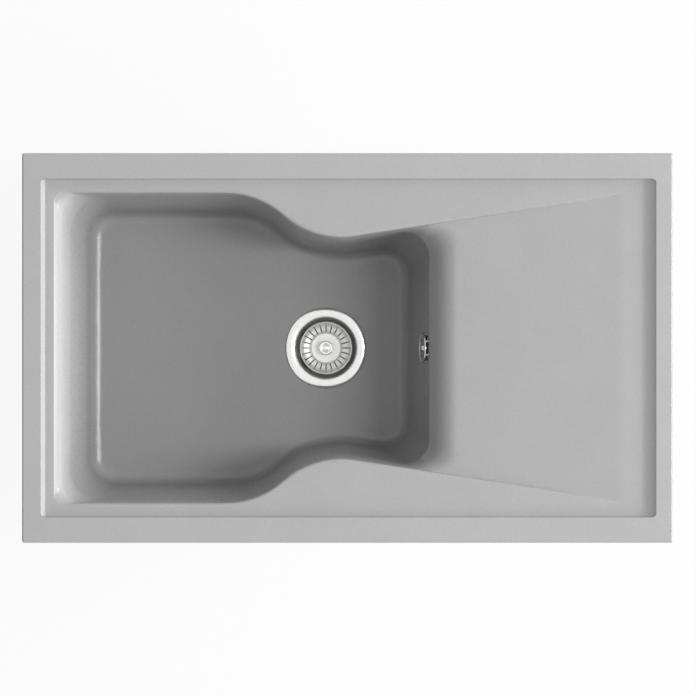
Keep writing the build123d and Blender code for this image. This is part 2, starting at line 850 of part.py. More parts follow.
with BuildPart() as overflow_elbow:
    with BuildSketch(overflow_plane.offset(gasket_back)):
        Circle(elbow_flange_r)
    extrude(amount=-elbow_flange_thickness)
    with BuildSketch(overflow_plane.offset(gasket_back)):
        Circle(elbow_r)
    extrude(amount=-elbow_depth)
    with BuildSketch(spigot_plane):
        Circle(spigot_r)
    extrude(amount=spigot_foot_z - spigot_top_z)
    with BuildSketch(overflow_plane.offset(gasket_back)):
        Circle(elbow_r - elbow_wall)
    extrude(amount=-elbow_depth + elbow_wall, mode=Mode.SUBTRACT)
    with BuildSketch(spigot_plane):
        Circle(spigot_bore_r)
    extrude(amount=spigot_foot_z - spigot_top_z, mode=Mode.SUBTRACT)
    with BuildSketch(overflow_plane.offset(elbow_back)):
        Circle(elbow_boss_r)
    extrude(amount=elbow_boss_height)
    with BuildSketch(overflow_plane.offset(elbow_back + elbow_wall)):
        Circle(overflow_shank_r + fit_gap)
    extrude(amount=elbow_depth, mode=Mode.SUBTRACT)
overflow_elbow.part.label = "overflow_elbow"

# ---- overflow hose: ribbed tube from the elbow's spigot to the branch on the waste ----
branch_x = drain_x + branch_reach
branch_z = branch_plane.origin.Z
with BuildLine() as hose_route:
    FilletPolyline(
        (spigot_x, 0, spigot_foot_z),
        (spigot_x, 0, branch_z),
        (branch_x, 0, branch_z),
        radius=hose_bend_r,
    )
hose_path = hose_route.wire()
hose_length = hose_path.length
ribbed_length = hose_length - 4 * hose_r
rib_pitch = ribbed_length / hose_rib_count
print("hose length", round(hose_length, 1), "bend radius", hose_bend_r, "rib pitch", round(rib_pitch, 2))


def hose_circle(run, radius):
    """A circle square to the hose's route at a distance along it, on a steady X axis."""
    share = run / hose_length
    here = Plane(origin=hose_path @ share, x_dir=(0, 1, 0), z_dir=hose_path % share)
    with BuildSketch(here) as ring:
        Circle(radius)
    return ring.sketch


hose_rings = [hose_circle(0, hose_valley_r)]
for rib in range(hose_rib_count):
    start = 2 * hose_r + rib * rib_pitch
    for part_of_rib, radius in ((0, hose_valley_r), (0.3, hose_valley_r), (0.45, hose_r), (0.85, hose_r)):
        hose_rings.append(hose_circle(start + part_of_rib * rib_pitch, radius))
hose_rings.append(hose_circle(hose_length - 2 * hose_r, hose_valley_r))
hose_rings.append(hose_circle(hose_length, hose_valley_r))

with BuildPart() as overflow_hose:
    loft(sections=hose_rings, ruled=True)
    with BuildSketch(Plane(origin=hose_path @ 0, x_dir=(0, 1, 0), z_dir=hose_path % 0)):
        Circle(hose_bore_r)
    sweep(path=hose_path, mode=Mode.SUBTRACT)
overflow_hose.part.label = "overflow_hose"

# ---- union nut and cone seal at each end of the hose ----
hose_ends = {"upper": spigot_plane, "lower": branch_plane}
hose_nuts = {}
hose_seals = {}
for end, mouth in hose_ends.items():
    with BuildPart() as nut:
        with BuildSketch(mouth.offset(-nut_grip)):
            Circle(hose_nut_r)
            with PolarLocations(hose_nut_r, hose_nut_ribs):
                Circle(nut_rib_r, mode=Mode.SUBTRACT)
        extrude(amount=hose_nut_length)
        with BuildSketch(mouth.offset(-nut_grip)):
            Circle(branch_r + fit_gap)
        extrude(amount=nut_grip + cone_seal_length + fit_gap, mode=Mode.SUBTRACT)
        with BuildSketch(mouth):
            Circle(hose_valley_r + 2 * fit_gap)
        extrude(amount=hose_nut_length, mode=Mode.SUBTRACT)
    nut.part.label = f"hose_nut_{end}"
    hose_nuts[end] = nut
    with BuildPart() as cone:
        with BuildSketch(mouth):
            Circle(branch_r - fit_gap)
        extrude(amount=cone_seal_length, taper=2)
        with BuildSketch(mouth):
            Circle(hose_valley_r + fit_gap)
        extrude(amount=cone_seal_length, mode=Mode.SUBTRACT)
    cone.part.label = f"cone_seal_{end}"
    hose_seals[end] = cone

# ---- fixing clips: anchor, screw and claw at each seat; the claws lie turned in ----
anchor_top = anchor_length - clip_boss_depth
claw_rib_start = clip_boss_r + boss_clearance
screw_top = -clip_boss_depth + screw_engagement
claw_top = -claw_drop
claw_under = claw_top - claw_thickness
head_top = claw_under - soft_gap

with BuildPart() as clip_anchors:
    with BuildSketch(Plane.XY.offset(-clip_boss_depth)):
        with Locations(*clip_places):
            Circle(anchor_r - fit_gap)
    extrude(amount=anchor_length)
    with BuildSketch(Plane.XY.offset(-clip_boss_depth)):
        with Locations(*clip_places):
            Circle(anchor_flange_r)
    extrude(amount=-anchor_flange)
    with BuildSketch(Plane.XY.offset(-clip_boss_depth - anchor_flange)):
        with Locations(*clip_places):
            Circle(screw_r + running_gap)
    extrude(amount=anchor_length + anchor_flange, mode=Mode.SUBTRACT)
clip_anchors.part.label = "clip_anchors"

clip_screws = []
clip_claws = []
for number, (seat_x, seat_y, outwards) in enumerate(clip_seats, start=1):
    turned_in = outwards - 90
    along = (cos(radians(turned_in)), sin(radians(turned_in)), 0)
    with BuildPart() as screw:
        with BuildSketch(Plane(origin=(seat_x, seat_y, head_top), x_dir=along)):
            Circle(screw_r)
        extrude(amount=screw_top - head_top)
        with BuildSketch(Plane(origin=(seat_x, seat_y, head_top), x_dir=along)):
            Circle(screw_head_r)
        extrude(amount=-screw_head_height)
        fillet(screw.faces().sort_by(Axis.Z)[0].edges(), radius=screw_head_edge_r)
        with BuildSketch(Plane(origin=(seat_x, seat_y, head_top - screw_head_height), x_dir=along)):
            RegularPolygon(hex_key, 6, major_radius=False)
        extrude(amount=hex_key, mode=Mode.SUBTRACT)
    screw.part.label = f"clip_{number}_screw"
    clip_screws.append(screw)
    with BuildPart() as claw:
        with BuildSketch(Plane(origin=(seat_x, seat_y, claw_under), x_dir=along)):
            with BuildLine():
                hub = CenterArc((0, 0), claw_hub_r, 90, 180)
                Polyline(
                    hub @ 0,
                    (claw_hub_r, claw_hub_r),
                    (claw_reach, claw_tip_width / 2),
                    (claw_reach, -claw_tip_width / 2),
                    (claw_hub_r, -claw_hub_r),
                    hub @ 1,
                )
            make_face()
        extrude(amount=claw_thickness)
        with BuildSketch(Plane(origin=(seat_x, seat_y, claw_top), x_dir=along)):
            with Locations((claw_reach - claw_thickness / 2, 0)):
                Rectangle(claw_thickness, claw_tip_width)
        extrude(amount=claw_tip_rise)
        with BuildSketch(Plane(origin=(seat_x, seat_y, claw_top), x_dir=along)):
            with Locations(((claw_rib_start + claw_reach) / 2, 0)):
                Rectangle(claw_reach - claw_rib_start, claw_rib_width)
        extrude(amount=claw_tip_rise / 2)
        with BuildSketch(Plane(origin=(seat_x, seat_y, claw_under), x_dir=along)):
            Circle(screw_r + running_gap)
        extrude(amount=claw_thickness + claw_tip_rise, mode=Mode.SUBTRACT)
    claw.part.label = f"clip_{number}_claw"
    clip_claws.append(claw)

# ---- files ----
pieces = [
    sink_body,
    rim_seal,
    waste_flange,
    flange_seal,
    body_seal,
    waste_body,
    clamp_screw,
    clamp_nut,
    basket,
    basket_knob,
    basket_plug,
    basket_seal,
    overflow_rosette,
    overflow_screw,
    overflow_gasket,
    overflow_elbow,
    overflow_hose,
    *hose_nuts.values(),
    *hose_seals.values(),
    clip_anchors,
    *clip_screws,
    *clip_claws,
]
os.makedirs("parts", exist_ok=True)
for piece in pieces:
    export_step(piece.part, f"parts/{piece.part.label}.step")
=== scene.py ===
"""Looks of the kitchen sink: grey granite composite, waisted bowl, sloping drainer, steel waste."""

import json
import math

import bmesh
import bpy
from mathutils import Matrix, Vector

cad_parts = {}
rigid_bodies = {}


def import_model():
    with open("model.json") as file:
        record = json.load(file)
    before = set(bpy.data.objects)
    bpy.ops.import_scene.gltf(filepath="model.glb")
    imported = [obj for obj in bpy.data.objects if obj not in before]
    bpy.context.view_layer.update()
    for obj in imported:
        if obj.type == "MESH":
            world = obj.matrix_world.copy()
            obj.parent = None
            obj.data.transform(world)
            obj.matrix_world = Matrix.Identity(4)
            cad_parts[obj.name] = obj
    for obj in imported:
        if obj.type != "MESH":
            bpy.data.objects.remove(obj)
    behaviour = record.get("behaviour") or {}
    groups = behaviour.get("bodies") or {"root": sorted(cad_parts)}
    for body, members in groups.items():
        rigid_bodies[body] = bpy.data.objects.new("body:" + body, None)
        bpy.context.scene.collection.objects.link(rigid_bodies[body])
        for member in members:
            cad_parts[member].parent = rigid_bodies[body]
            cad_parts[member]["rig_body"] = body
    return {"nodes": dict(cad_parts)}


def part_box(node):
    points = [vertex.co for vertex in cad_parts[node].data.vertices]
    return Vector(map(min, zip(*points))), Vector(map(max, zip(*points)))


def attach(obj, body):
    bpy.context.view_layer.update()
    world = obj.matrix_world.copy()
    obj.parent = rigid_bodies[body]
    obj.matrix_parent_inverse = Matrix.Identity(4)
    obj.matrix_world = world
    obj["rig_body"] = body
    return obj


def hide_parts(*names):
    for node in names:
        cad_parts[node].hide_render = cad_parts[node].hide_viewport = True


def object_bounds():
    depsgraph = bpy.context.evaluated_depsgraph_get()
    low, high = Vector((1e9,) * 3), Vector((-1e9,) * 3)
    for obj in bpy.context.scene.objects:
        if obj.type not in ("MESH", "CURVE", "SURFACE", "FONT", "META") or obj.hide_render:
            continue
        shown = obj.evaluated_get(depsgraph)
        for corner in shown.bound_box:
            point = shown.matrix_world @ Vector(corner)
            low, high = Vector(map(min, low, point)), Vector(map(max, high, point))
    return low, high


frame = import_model()
cad_low, cad_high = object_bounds()
MM = 0.001

# ---- camera: straight above the rim, as the photograph looks ----
CAMERA_X = 0.00075
CAMERA_ABOVE_RIM = 2.770
CAMERA_LENS = 108.5
CAMERA_SENSOR = 36.0
CAMERA_REACH = 20.0

# ---- light: azimuth from +X, elevation, half width and half height in degrees, radiance, and
# ---- whether gloss mirrors it: the low fills stay out of the gloss, so that the deck never glares ----
LAMP_DISTANCE = 8.0
SOFT_BOXES = {
    "window_low": (-3, 15, 45, 6, 8.6, False),
    "window_middle": (-3, 25, 45, 5, 4.8, False),
    "window_high": (0, 54, 5, 14, 14.0, True),
}
ROOM_LEVEL = 0.35
WHITE_LEVEL = 1.0
WHITE = (1.0, 1.0, 1.0, 1.0)

# ---- studio, in metres: a pale floor that mostly glows for the camera, and a grey board, both matt ----
FLOOR_SIZE = 9.0
FLOOR_CLOUDS = 0.6
FLOOR_GREYS = (0.86, 0.88)
FLOOR_GLOW = 0.89
BOARD_X = -2.4
BOARD_Z = 0.9
BOARD_HEIGHT = 2.3
BOARD_LENGTH = 5.0
BOARD_CLOUDS = 0.5
BOARD_GREYS = (0.17, 0.19)
MATT_ROUGH = 0.9

# ---- noise keeps to the middle of its range: its values between these are spread over what it steers ----
NOISE_LOW = 0.3
NOISE_HIGH = 0.7
NOISE_RAMP = (0.35, 0.65)

# ---- granite composite: grain, crystals, clouds, sheen and relief ----
COMPOSITE_GREY = (0.455, 0.455, 0.453)
COMPOSITE_SPECULAR = 0.65
GRAIN_SIZE = 1.6 * MM
GRAIN_DETAIL = 3.0
GRAIN_SPREAD = 0.02
GRAIN_RAMP = (0.38, 0.62)
CRYSTAL_SIZE = 1.2 * MM
CRYSTAL_GREYS = (0.96, 1.03)
CRYSTAL_RAMP = (0.0, 1.0)
COMPOSITE_CLOUDS = 90 * MM
COMPOSITE_CLOUD_GREYS = (0.985, 1.015)
SHEEN_SIZE = 2.2 * MM
SHEEN_ROUGH = (0.27, 0.30)
RELIEF_SIZE = 1.1 * MM
RELIEF_DEPTH = 0.04 * MM
RELIEF_STRENGTH = 0.18

# ---- painted shade: the lamps alone leave the bowl too pale, so its colour is darkened below the deck's, by height ----
BOWL_PAINTED_SHADE = 0.785
DECK_SHADE = 1.0
BOWL_PAINTED_SHADE_TOP = -6 * MM
BOWL_PAINTED_SHADE_FOOT = -24 * MM

# ---- painted light: for the same cause the raised rim is coloured a little paler, and the tray a little darker ----
RIM_PAINTED_LIGHT = 1.02
TRAY_PAINTED_SHADE = 0.965
RIM_PAINTED_LIGHT_TOP = 7 * MM
RIM_PAINTED_LIGHT_FOOT = 2 * MM

# ---- metals: smears, and fine brushing ----
SMEAR_SIZE = 12 * MM
SMEAR_DETAIL = 4.0
SMEAR_SPREAD = 0.03
BRUSHING_SIZE = 0.8 * MM
BRUSHING_ROUGH = 0.06
BRUSHING_DEPTH = 0.01 * MM
BRUSHING_STRENGTH = 0.3

# ---- the waste's flange: bright on its brim, rougher down the wall of its cup, with painted shade darkening the wall ----
CUP_STEEL = (0.82, 0.82, 0.81)
CUP_DULL_AND_PAINTED_SHADE_DEPTH = 2.5 * MM
CUP_DULL_AND_PAINTED_SHADE_FADE = 1.0 * MM
CUP_PAINTED_SHADE = 0.76
CUP_BRIGHT_SHADE = 1.0
CUP_DULL_ROUGH = 0.55
CUP_BRIGHT_ROUGH = 0.17

# ---- plastics and rubber: clouds, and the texture that spark erosion leaves in the mould ----
PLASTIC_CLOUDS = 20 * MM
PLASTIC_DETAIL = 3.0
PLASTIC_SPREAD = 0.05
EROSION_SIZE = 1.2 * MM
EROSION_ROUGH = 0.12
EROSION_DEPTH = 0.03 * MM
EROSION_STRENGTH = 0.4

# ---- merging and shading of the skins ----
MERGE_DISTANCE = 0.001 * MM
SHORTEST_EDGE = 0.0005 * MM
FLAT_ANGLE = math.radians(0.5)
SMOOTH_ANGLE = math.radians(32)
EDGE_ANGLE = math.radians(35)
EDGE_SEGMENTS = 2
LARGE_FACE_WEIGHT = 100

# ---- how far each kind of node's edges are rounded over, by the start of its name, in millimetres ----
EDGE_WIDTHS = {
    "clip_": 0.35,
    "hose_nut_": 0.4,
    "flange_seal": 0.2,
    "body_seal": 0.5,
    "rim_seal": 0.4,
    "overflow_gasket": 0.5,
    "waste_body": 0.4,
    "overflow_elbow": 0.4,
    "clamp_nut": 0.4,
}

# ---- the rolled left lip ends in a crisp line at this level ----
LIP_FOOT_LEVEL = -4.534 * MM
LEVEL_TOLERANCE = 0.05 * MM

# ---- strainer basket: its sheet's top from the stud's hole out to the rolled edge, as radii and
# ---- heights above the disc's top in millimetres, and the radii between which the slots run ----
SHEET = 0.8 * MM
BASKET_PROFILE = (
    (2.55, 0.0), (12.0, 0.0), (17.5, -0.2), (20.4, -0.1), (21.2, 0.6), (21.7, 2.0), (22.1, 3.6),
    (22.7, 4.8), (23.7, 5.5), (26.0, 6.2), (28.7, 7.0), (31.2, 7.9), (33.0, 9.1), (34.2, 10.7),
    (34.9, 12.3), (35.4, 13.1), (36.0, 13.5), (36.5, 13.4), (36.9, 12.9),
)
BASKET_SLOTS = 24
SLOT_COLUMNS = 10
SLOT_INNER_R = 22.0
SLOT_OUTER_R = 34.9
BASKET_EDGE = 0.12 * MM

# ---- knob, in millimetres: the neck as radii and heights above its foot, the head's edge as an arc,
# ---- and the grooved crown as radii and depths below its top ----
KNOB_HEIGHT = 12.0
STUD_R = 2.4
KNOB_NECK = ((7.0, 0.0), (6.2, 1.0), (5.3, 3.2), (5.0, 5.0), (5.6, 6.6), (7.4, 7.9), (9.2, 8.5))
KNOB_EDGE_R = 2.1
KNOB_EDGE_CENTRE_R = 7.9
KNOB_EDGE_START = -30  # degrees
KNOB_EDGE_SWEEP = 120  # degrees
KNOB_EDGE_STEPS = 8
KNOB_CROWN = (
    (6.8, 0.03), (6.3, 0.15), (5.9, 0.45), (5.4, 1.0), (4.9, 1.35), (4.3, 1.35), (3.8, 1.0), (3.3, 0.45),
    (2.8, 0.15), (2.0, 0.05), (0.0, 0.0),
)
KNOB_SIDES = 64
KNOB_SMOOTH_ANGLE = math.radians(50)

# ---- overflow hose: ribs between two plain cuffs ----
HOSE_R = 12.5 * MM
HOSE_VALLEY_R = 10.9 * MM
HOSE_CUFF = 2 * HOSE_R
HOSE_BEND_R = 58.0 * MM
HOSE_WALL = 0.9 * MM
HOSE_RIBS = 26
RINGS_PER_RIB = 8
HOSE_SIDES = 48
HOSE_SMOOTH_ANGLE = math.radians(60)

# ---- nodes that have a function of their own below ----
MODELLED_HERE = ("sink_body", "overflow_hose", "basket", "basket_knob")


def new_material(name):
    """A node material with its Principled shader, and the object's own coordinates."""
    material = bpy.data.materials.new(name)
    material.use_nodes = True
    nodes = material.node_tree.nodes
    shader = nodes["Principled BSDF"]
    place = nodes.new("ShaderNodeTexCoord")
    return material, nodes, material.node_tree.links, shader, place.outputs["Object"]


def grain(nodes, links, place, size, detail=2.0):
    """Noise whose blotches are about a given size in metres, as a factor round one half."""
    noise = nodes.new("ShaderNodeTexNoise")
    noise.inputs["Scale"].default_value = 1.0 / size
    noise.inputs["Detail"].default_value = detail
    links.new(place, noise.inputs["Vector"])
    return noise.outputs["Fac"]


def crystals(nodes, links, place, size):
    """Cells of about a given size in metres, each with a factor of its own from nought to one."""
    cells = nodes.new("ShaderNodeTexVoronoi")
    cells.inputs["Scale"].default_value = 1.0 / size
    links.new(place, cells.inputs["Vector"])
    channels = nodes.new("ShaderNodeSeparateColor")
    links.new(cells.outputs["Color"], channels.inputs["Color"])
    return channels.outputs["Red"]


def between_colours(nodes, links, factor, colours, ends=NOISE_RAMP):
    """A ramp along a factor from a dark to a light colour, between two ends of the factor."""
    ramp = nodes.new("ShaderNodeValToRGB")
    for stop, end, colour in zip(ramp.color_ramp.elements, ends, colours):
        stop.position = end
        stop.color = (*colour, 1.0)
    links.new(factor, ramp.inputs["Fac"])
    return ramp.outputs["Color"]


def shades(colour, spread):
    """A darker and a lighter shade round a colour."""
    return tuple(c * (1 - spread) for c in colour), tuple(c * (1 + spread) for c in colour)


def greys(levels):
    """Neutral colours of given levels."""
    return [(level,) * 3 for level in levels]


def multiplied(nodes, links, first, second):
    """Two colours multiplied."""
    mix = nodes.new("ShaderNodeMix")
    mix.data_type = "RGBA"
    mix.blend_type = "MULTIPLY"
    mix.inputs["Factor"].default_value = 1.0
    links.new(first, mix.inputs["A"])
    links.new(second, mix.inputs["B"])
    return mix.outputs["Result"]


def mapped(nodes, links, value, start, end, start_value, end_value):
    """A value between a start and an end, turned into one between two other values and held there."""
    spread = nodes.new("ShaderNodeMapRange")
    spread.inputs["From Min"].default_value = start
    spread.inputs["From Max"].default_value = end
    spread.inputs["To Min"].default_value = start_value
    spread.inputs["To Max"].default_value = end_value
    links.new(value, spread.inputs["Value"])
    return spread.outputs["Result"]


def to_range(nodes, links, noise, low, high):
    """The middle of a noise's range spread over a range of values."""
    return mapped(nodes, links, noise, NOISE_LOW, NOISE_HIGH, low, high)


def by_height(nodes, links, place, foot, top, foot_value, top_value):
    """A value that goes from one to another between two heights."""
    axes = nodes.new("ShaderNodeSeparateXYZ")
    links.new(place, axes.inputs["Vector"])
    return mapped(nodes, links, axes.outputs["Z"], foot, top, foot_value, top_value)


def bump(nodes, links, shader, height, depth, strength):
    """Relief of a given depth in metres on the shader's normal."""
    relief = nodes.new("ShaderNodeBump")
    relief.inputs["Distance"].default_value = depth
    relief.inputs["Strength"].default_value = strength
    links.new(height, relief.inputs["Height"])
    links.new(relief.outputs["Normal"], shader.inputs["Normal"])


def granite_composite():
    """Quartz in grey resin: fine grain, paler and darker crystals, faint clouds, a silky sheen, painted
    shade in the bowl and painted light on the rim.
    """
    material, nodes, links, shader, place = new_material("granite_composite_finish")
    fine = grain(nodes, links, place, GRAIN_SIZE, GRAIN_DETAIL)
    colour = between_colours(nodes, links, fine, shades(COMPOSITE_GREY, GRAIN_SPREAD), GRAIN_RAMP)
    quartz = crystals(nodes, links, place, CRYSTAL_SIZE)
    tint = between_colours(nodes, links, quartz, greys(CRYSTAL_GREYS), CRYSTAL_RAMP)
    cloud = grain(nodes, links, place, COMPOSITE_CLOUDS)
    clouds = between_colours(nodes, links, cloud, greys(COMPOSITE_CLOUD_GREYS))
    # painted shade: the bowl's colour is darkened below the deck, by height
    bowl_painted_shade = by_height(nodes, links, place, BOWL_PAINTED_SHADE_FOOT, BOWL_PAINTED_SHADE_TOP, BOWL_PAINTED_SHADE, DECK_SHADE)
    # painted light: the raised rim is coloured paler and the tray darker, by height
    rim_painted_light = by_height(nodes, links, place, RIM_PAINTED_LIGHT_FOOT, RIM_PAINTED_LIGHT_TOP, TRAY_PAINTED_SHADE, RIM_PAINTED_LIGHT)
    for tone in (tint, clouds, bowl_painted_shade, rim_painted_light):
        colour = multiplied(nodes, links, colour, tone)
    links.new(colour, shader.inputs["Base Color"])
    sheen = grain(nodes, links, place, SHEEN_SIZE)
    links.new(to_range(nodes, links, sheen, *SHEEN_ROUGH), shader.inputs["Roughness"])
    shader.inputs["Specular IOR Level"].default_value = COMPOSITE_SPECULAR
    relief = grain(nodes, links, place, RELIEF_SIZE, GRAIN_DETAIL)
    bump(nodes, links, shader, relief, RELIEF_DEPTH, RELIEF_STRENGTH)
    return material


def brushed_metal(name, colour, rough, metallic=1.0):
    """Bright metal with faint brushing and smears, a little cloudy where it is less metallic."""
    material, nodes, links, shader, place = new_material(name)
    shader.inputs["Metallic"].default_value = metallic
    smear = grain(nodes, links, place, SMEAR_SIZE, SMEAR_DETAIL)
    tone = between_colours(nodes, links, smear, shades(colour, SMEAR_SPREAD))
    links.new(tone, shader.inputs["Base Color"])
    brushing = grain(nodes, links, place, BRUSHING_SIZE)
    roughness = to_range(nodes, links, brushing, rough, rough + BRUSHING_ROUGH)
    links.new(roughness, shader.inputs["Roughness"])
    bump(nodes, links, shader, brushing, BRUSHING_DEPTH, BRUSHING_STRENGTH)
    return material


def pressed_cup_steel():
    """The flange's steel: bright on its brim, rougher down the wall of its cup, with painted shade
    darkening the wall.
    """
    material, nodes, links, shader, place = new_material("pressed_cup_steel")
    shader.inputs["Metallic"].default_value = 1.0
    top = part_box("waste_flange")[1].z - CUP_DULL_AND_PAINTED_SHADE_DEPTH
    foot = top - CUP_DULL_AND_PAINTED_SHADE_FADE
    smear = grain(nodes, links, place, SMEAR_SIZE, SMEAR_DETAIL)
    bright = between_colours(nodes, links, smear, shades(CUP_STEEL, SMEAR_SPREAD))
    # painted shade: the steel's colour darkens down the cup's wall
    painted_shade = by_height(nodes, links, place, foot, top, CUP_PAINTED_SHADE, CUP_BRIGHT_SHADE)
    links.new(multiplied(nodes, links, bright, painted_shade), shader.inputs["Base Color"])
    roughness = by_height(nodes, links, place, foot, top, CUP_DULL_ROUGH, CUP_BRIGHT_ROUGH)
    links.new(roughness, shader.inputs["Roughness"])
    brushing = grain(nodes, links, place, BRUSHING_SIZE)
    bump(nodes, links, shader, brushing, BRUSHING_DEPTH, BRUSHING_STRENGTH)
    return material


def moulded_plastic(name, colour, rough):
    """Moulded plastic or rubber with a faint spark-eroded texture."""
    material, nodes, links, shader, place = new_material(name)
    cloud = grain(nodes, links, place, PLASTIC_CLOUDS, PLASTIC_DETAIL)
    tone = between_colours(nodes, links, cloud, shades(colour, PLASTIC_SPREAD))
    links.new(tone, shader.inputs["Base Color"])
    texture = grain(nodes, links, place, EROSION_SIZE)
    roughness = to_range(nodes, links, texture, rough, rough + EROSION_ROUGH)
    links.new(roughness, shader.inputs["Roughness"])
    bump(nodes, links, shader, texture, EROSION_DEPTH, EROSION_STRENGTH)
    return material


# ---- the finish of each slot, with linear colours, and the least roughness of its surface ----
FINISHES = {
    "granite_composite": granite_composite(),
    "stainless_steel": brushed_metal("satin_stainless_steel", colour=(0.80, 0.80, 0.79), rough=0.16),
    "chrome_plate": brushed_metal("polished_chrome", colour=(0.62, 0.63, 0.64), rough=0.08),
    "clip_steel": brushed_metal("zinc_plated_clip_steel", colour=(0.62, 0.63, 0.66), rough=0.30),
    "brass_insert": brushed_metal("brass", colour=(0.72, 0.53, 0.26), rough=0.24),
    "waste_plastic": moulded_plastic("white_waste_plastic", colour=(0.76, 0.76, 0.74), rough=0.38),
    "hose_plastic": moulded_plastic("grey_hose_plastic", colour=(0.42, 0.43, 0.44), rough=0.42),
    "plug_plastic": moulded_plastic("black_socket_plastic", colour=(0.03, 0.03, 0.032), rough=0.45),
    "seal_rubber": moulded_plastic("black_seal_rubber", colour=(0.045, 0.045, 0.045), rough=0.62),
}

# ---- nodes whose own finish differs from the rest of their slot ----
NODE_FINISHES = {
    "waste_flange": pressed_cup_steel(),
    "basket": brushed_metal("satin_basket_steel", colour=(0.88, 0.88, 0.87), rough=0.46, metallic=0.65),
    "basket_knob": brushed_metal("polished_knob_steel", colour=(0.86, 0.86, 0.85), rough=0.26),
}


def merged_copy(node):
    """A bmesh of a node's triangles, joined into one skin."""
    work = bmesh.new()
    work.from_mesh(frame["nodes"][node].data)
    bmesh.ops.remove_doubles(work, verts=work.verts, dist=MERGE_DISTANCE)
    bmesh.ops.dissolve_degenerate(work, edges=work.edges, dist=SHORTEST_EDGE)
    return work


def as_piece(name, work, node):
    """A finished piece from a bmesh, which stands for a node and takes its body, slot and finish."""
    source = frame["nodes"][node]
    slot = source.data.materials[0].name
    mesh = bpy.data.meshes.new(name)
    work.to_mesh(mesh)
    work.free()
    mesh.materials.append(NODE_FINISHES.get(node) or FINISHES[slot])
    piece = bpy.data.objects.new(name, mesh)
    bpy.context.scene.collection.objects.link(piece)
    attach(piece, source["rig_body"])
    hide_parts(node)
    return piece


def shade_smooth(work, angle=SMOOTH_ANGLE, crisp_level=None):
    """Smooth faces with sharp edges past an angle, and along a level line where one is given."""
    for face in work.faces:
        face.smooth = True
    for edge in work.edges:
        smooth = edge.is_manifold and edge.calc_face_angle(math.pi) < angle
        if crisp_level is not None:
            smooth = smooth and any(abs(v.co.z - crisp_level) > LEVEL_TOLERANCE for v in edge.verts)
        edge.smooth = smooth


def even_shading(piece):
    """Normals that follow the large faces."""
    even = piece.modifiers.new("even_shading", "WEIGHTED_NORMAL")
    even.keep_sharp = True
    even.weight = LARGE_FACE_WEIGHT


def softened(piece, width):
    """Rounded edges of a given width."""
    round_off = piece.modifiers.new("rounded_edges", "BEVEL")
    round_off.limit_method = "ANGLE"
    round_off.angle_limit = EDGE_ANGLE
    round_off.width = width
    round_off.segments = EDGE_SEGMENTS
    round_off.use_clamp_overlap = True


def walled(piece, name, thickness, even=False):
    """A wall of a given thickness, inwards from the piece's skin."""
    wall = piece.modifiers.new(name, "SOLIDIFY")
    wall.thickness = thickness
    wall.offset = -1
    wall.use_even_offset = even


def dressed(node, edge_width=0.0, crisp_level=None):
    """A merged copy of a node that stands for it, with its edges rounded where a width is given."""
    work = merged_copy(node)
    if edge_width:
        bmesh.ops.dissolve_limit(
            work, angle_limit=FLAT_ANGLE, verts=work.verts, edges=work.edges, use_dissolve_boundaries=False,
        )
    shade_smooth(work, crisp_level=crisp_level)
    piece = as_piece(node + "_dressed", work, node)
    if edge_width:
        softened(piece, edge_width)
    even_shading(piece)


def edge_width_of(node):
    """The edge rounding of a node in metres, by the start of its name."""
    for start, width in EDGE_WIDTHS.items():
        if node.startswith(start):
            return width * MM
    return 0.0


def sink_shell():
    """The moulded sink, smooth over its rolled lips and crisp where the left lip ends."""
    dressed("sink_body", crisp_level=LIP_FOOT_LEVEL)


def middle_of(low, high):
    """Where the upright axis of a round node stands, from two corners of its box."""
    return Vector(((low.x + high.x) / 2, (low.y + high.y) / 2, 0))


def turned(profile, centre, level, sides):
    """A skin turned round an upright axis, from radii and heights in millimetres above a level."""
    work = bmesh.new()
    points = [work.verts.new((centre.x + r * MM, centre.y, level + z * MM)) for r, z in profile]
    edges = [work.edges.new(pair) for pair in zip(points, points[1:])]
    upright = (0, 0, 1)
    whole_turn = 2 * math.pi
    bmesh.ops.spin(
        work, geom=points + edges, cent=centre, axis=upright, angle=whole_turn, steps=sides, use_merge=True,
    )
    bmesh.ops.remove_doubles(work, verts=work.verts, dist=MERGE_DISTANCE)
    return work


def in_a_slot(face, centre):
    """Whether a face of the basket's sheet lies where a slot is cut."""
    middle = face.calc_center_median() - centre
    radius = math.hypot(middle.x, middle.y) / MM
    pitch = 360 / BASKET_SLOTS
    turn = math.degrees(math.atan2(middle.y, middle.x)) % pitch
    column = int(turn / pitch * SLOT_COLUMNS)
    return SLOT_INNER_R < radius < SLOT_OUTER_R and column in (0, SLOT_COLUMNS - 1)


def strainer_basket():
    """The pressed basket: a turned sheet with radial slots cut through its slope."""
    low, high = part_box("basket")
    centre = middle_of(low, high)
    work = turned(BASKET_PROFILE, centre, low.z + SHEET, BASKET_SLOTS * SLOT_COLUMNS)
    slots = [face for face in work.faces if in_a_slot(face, centre)]
    bmesh.ops.delete(work, geom=slots, context="FACES")
    bmesh.ops.recalc_face_normals(work, faces=work.faces)
    if sum(face.normal.z for face in work.faces) < 0:
        bmesh.ops.reverse_faces(work, faces=work.faces)
    shade_smooth(work)
    piece = as_piece("basket_pressed", work, "basket")
    walled(piece, "sheet", SHEET, even=True)
    softened(piece, BASKET_EDGE)


